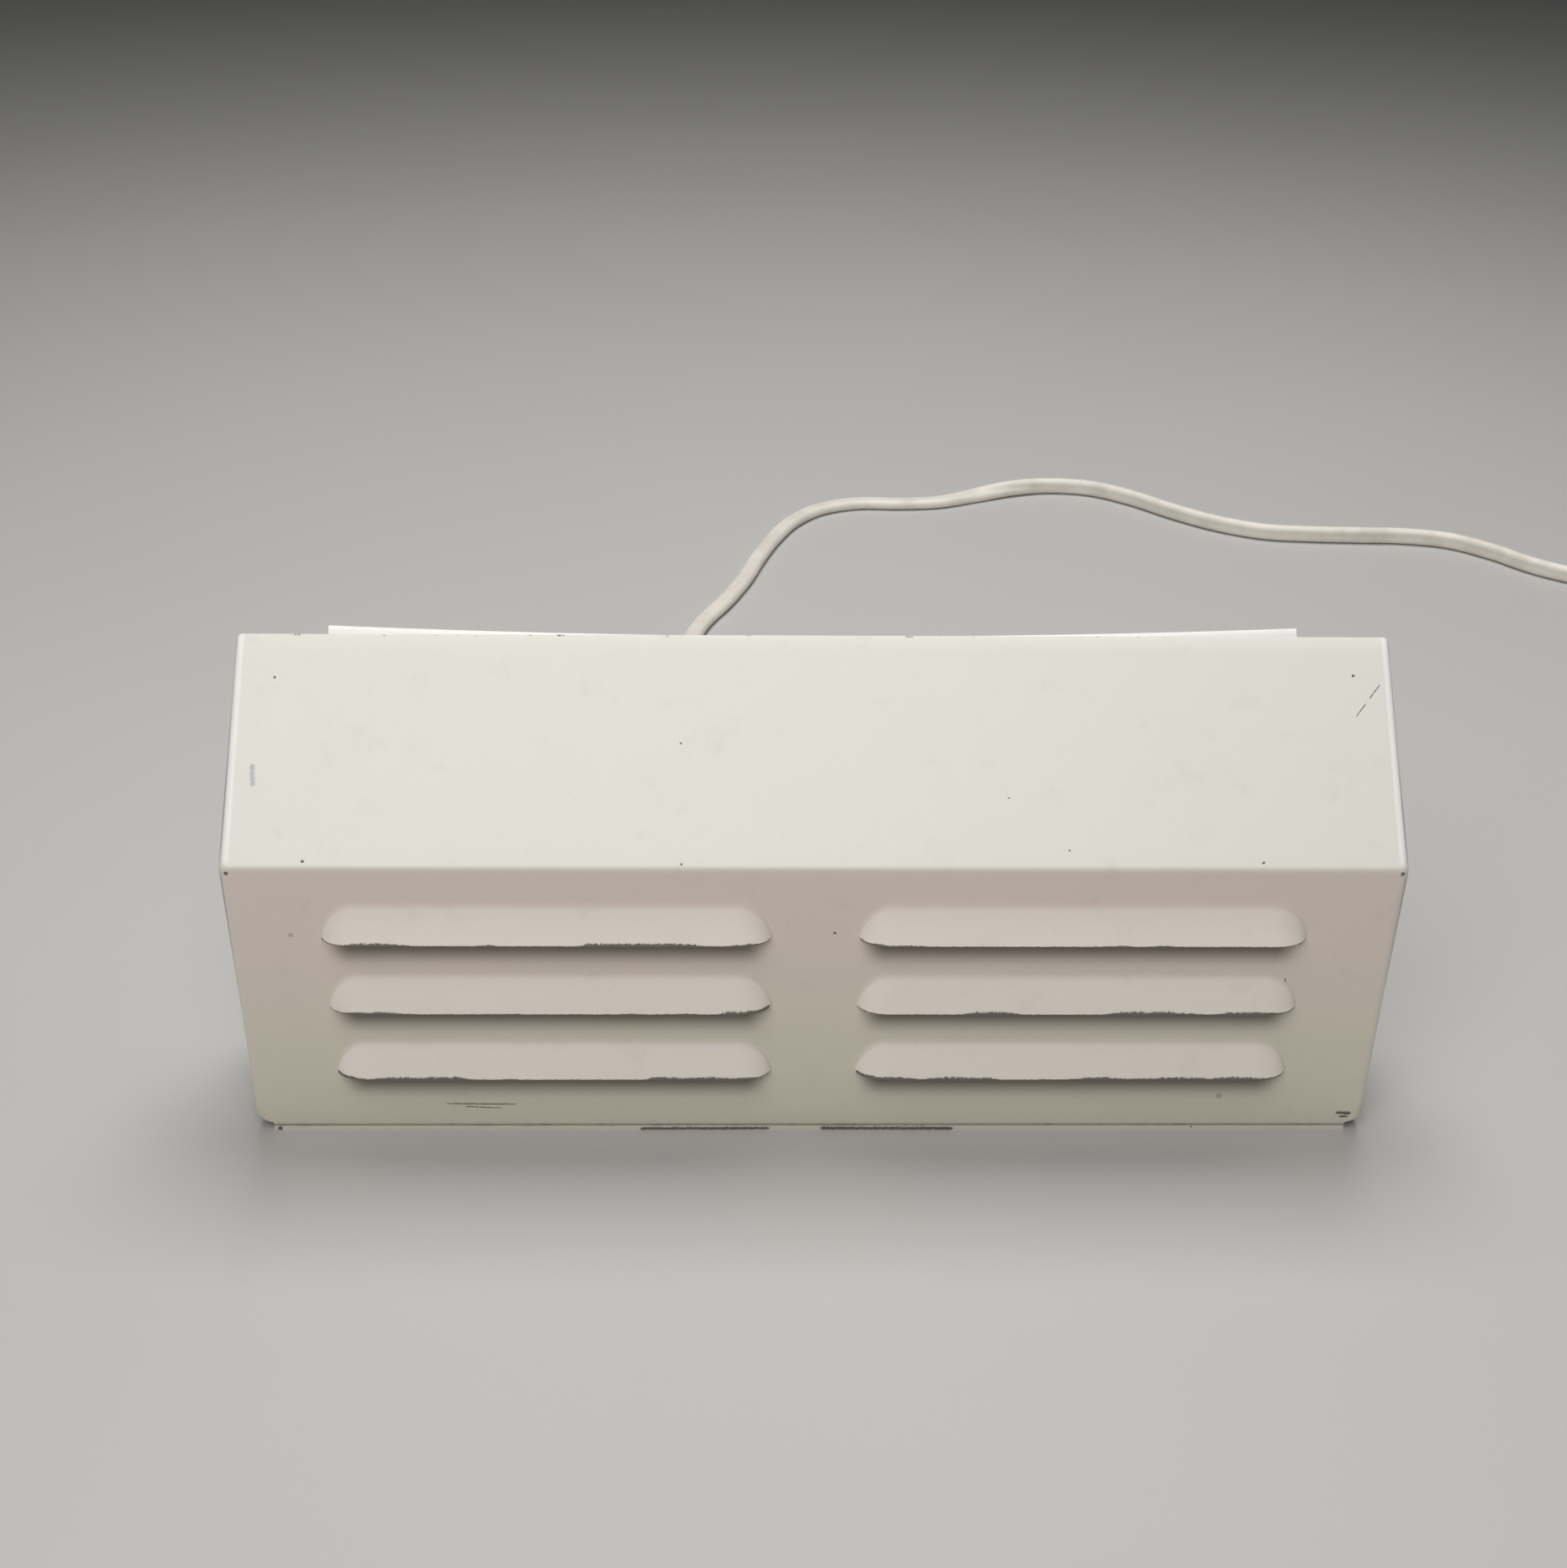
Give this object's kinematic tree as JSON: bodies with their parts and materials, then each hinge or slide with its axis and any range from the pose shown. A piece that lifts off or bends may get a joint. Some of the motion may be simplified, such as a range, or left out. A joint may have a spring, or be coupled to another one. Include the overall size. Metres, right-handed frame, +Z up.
{
  "type": "garage door opener",
  "caption": "Garage door opener control unit in a louvred off-white steel housing with a sloping top, relay and receiver board inside, and a flat mains cord from the back.",
  "frame": {"origin": "on the standing surface, under the middle of the housing", "axes": "+X across the housing's width, +Y from front to back, +Z up"},
  "size_m": [0.5966, 0.4763, 0.128],
  "materials": {
    "cover_paint": "off-white satin enamel, worn at the folds",
    "chassis_paint": "off-white satin enamel",
    "panel_paint": "white gloss enamel",
    "zinc_screw": "zinc plated",
    "board_green": "solder mask over glass laminate",
    "nylon": "natural nylon",
    "lamination": "varnished silicon steel laminations",
    "bobbin_nylon": "glass-filled nylon",
    "primary_tape": "polyester tape over windings",
    "secondary_wire": "enamelled copper",
    "red_insulation": "PVC",
    "yellow_insulation": "PVC",
    "terminal_plastic": "polyamide",
    "brass": "plain brass",
    "brown_insulation": "PVC",
    "blue_insulation": "PVC",
    "fuse_glass": "clear glass",
    "nickel": "nickel plated",
    "relay_plastic": "phenolic",
    "relay_wire": "enamelled copper",
    "relay_steel": "nickel plated iron",
    "capacitor_sleeve": "shrink sleeve over aluminium",
    "black_resin": "moulded epoxy",
    "black_anodised": "black anodised",
    "receiver_mask": "solder mask over laminate",
    "tinned_can": "tinned steel",
    "black_insulation": "PVC",
    "button_orange": "moulded ABS",
    "switch_red": "moulded PBT",
    "white_plastic": "moulded nylon",
    "trimmer_blue": "moulded PBT",
    "output_green": "polyamide",
    "cord_pvc": "soft PVC, light warm grey",
    "tie_black": "plastic-covered wire tie",
    "plug_pvc": "moulded PVC with nickel pins"
  },
  "bodies": {
    "chassis": {"chassis": "chassis_paint", "rear_panel": "panel_paint", "cover_screws": "zinc_screw", "rear_panel_screws": "zinc_screw", "circuit_board": "board_green", "board_spacers": "nylon", "board_screws": "zinc_screw", "transformer_core": "lamination", "transformer_bobbin": "bobbin_nylon", "primary_winding": "primary_tape", "secondary_winding": "secondary_wire", "transformer_spacers": "zinc_screw", "transformer_bolts": "zinc_screw", "primary_leads": "red_insulation", "secondary_leads": "yellow_insulation", "mains_terminal": "terminal_plastic", "terminal_clamps": "brass", "terminal_screws": "zinc_screw", "live_lead": "brown_insulation", "neutral_lead": "blue_insulation", "fuse_tube": "fuse_glass", "fuse_caps": "nickel", "fuse_clips": "brass", "relay_base_up": "relay_plastic", "relay_coil_up": "relay_wire", "relay_yoke_up": "relay_steel", "relay_contact_up": "brass", "relay_base_down": "relay_plastic", "relay_coil_down": "relay_wire", "relay_yoke_down": "relay_steel", "relay_contact_down": "brass", "smoothing_capacitor": "capacitor_sleeve", "bridge_rectifier": "black_resin", "heat_sink": "black_anodised", "voltage_regulator": "black_resin", "controller_chip": "black_resin", "receiver_board": "receiver_mask", "receiver_headers": "black_resin", "tuning_can": "tinned_can", "antenna_wire": "black_insulation", "learn_button_base": "black_resin", "code_switch": "switch_red", "open_trimmer": "trimmer_blue", "close_trimmer": "trimmer_blue", "output_terminal": "output_green", "strain_relief": "cord_pvc", "mains_cord": "cord_pvc", "cord_coil": "cord_pvc", "coil_tie": "tie_black", "plug": "plug_pvc"},
    "cover": {"cover": "cover_paint"},
    "learn_button": {"learn_button": "button_orange"},
    "code_slider_1": {"code_slider_1": "white_plastic"},
    "code_slider_2": {"code_slider_2": "white_plastic"},
    "code_slider_3": {"code_slider_3": "white_plastic"},
    "code_slider_4": {"code_slider_4": "white_plastic"},
    "open_trimmer_dial": {"open_trimmer_dial": "white_plastic"},
    "close_trimmer_dial": {"close_trimmer_dial": "white_plastic"},
    "relay_armature_up": {"relay_armature_up": "relay_steel"},
    "relay_armature_down": {"relay_armature_down": "relay_steel"}
  },
  "joints": [
    {"name": "cover_slide", "type": "slide", "parent": "chassis", "child": "cover", "axis": [0, -1, 0], "range_m": [0, 0.06]},
    {"name": "learn_press", "type": "slide", "parent": "chassis", "child": "learn_button", "axis": [0, 1, 0], "range_m": [0, 0.001], "stiffness_N_per_m": 400, "springref_m": -0.002},
    {"name": "code_slide_1", "type": "slide", "parent": "chassis", "child": "code_slider_1", "axis": [0, 0, 1], "range_m": [0, 0.003]},
    {"name": "code_slide_2", "type": "slide", "parent": "chassis", "child": "code_slider_2", "axis": [0, 0, 1], "range_m": [0, 0.003]},
    {"name": "code_slide_3", "type": "slide", "parent": "chassis", "child": "code_slider_3", "axis": [0, 0, 1], "range_m": [0, 0.003]},
    {"name": "code_slide_4", "type": "slide", "parent": "chassis", "child": "code_slider_4", "axis": [0, 0, 1], "range_m": [0, 0.003]},
    {"name": "open_trim_turn", "type": "hinge", "parent": "chassis", "child": "open_trimmer_dial", "pos_m": [0.114, 0.0103, 0.032], "axis": [0, -1, 0], "range_deg": [-135, 135]},
    {"name": "close_trim_turn", "type": "hinge", "parent": "chassis", "child": "close_trimmer_dial", "pos_m": [0.128, 0.0103, 0.032], "axis": [0, -1, 0], "range_deg": [-135, 135]},
    {"name": "relay_up_pull", "type": "hinge", "parent": "chassis", "child": "relay_armature_up", "pos_m": [0.005, -0.0048, 0.0426], "axis": [1, 0, 0], "range_deg": [0, 3.5], "stiffness_Nm_per_rad": 0.02, "springref_deg": -11.46},
    {"name": "relay_down_pull", "type": "hinge", "parent": "chassis", "child": "relay_armature_down", "pos_m": [0.031, -0.0048, 0.0426], "axis": [1, 0, 0], "range_deg": [0, 3.5], "stiffness_Nm_per_rad": 0.02, "springref_deg": -11.46}
  ]
}
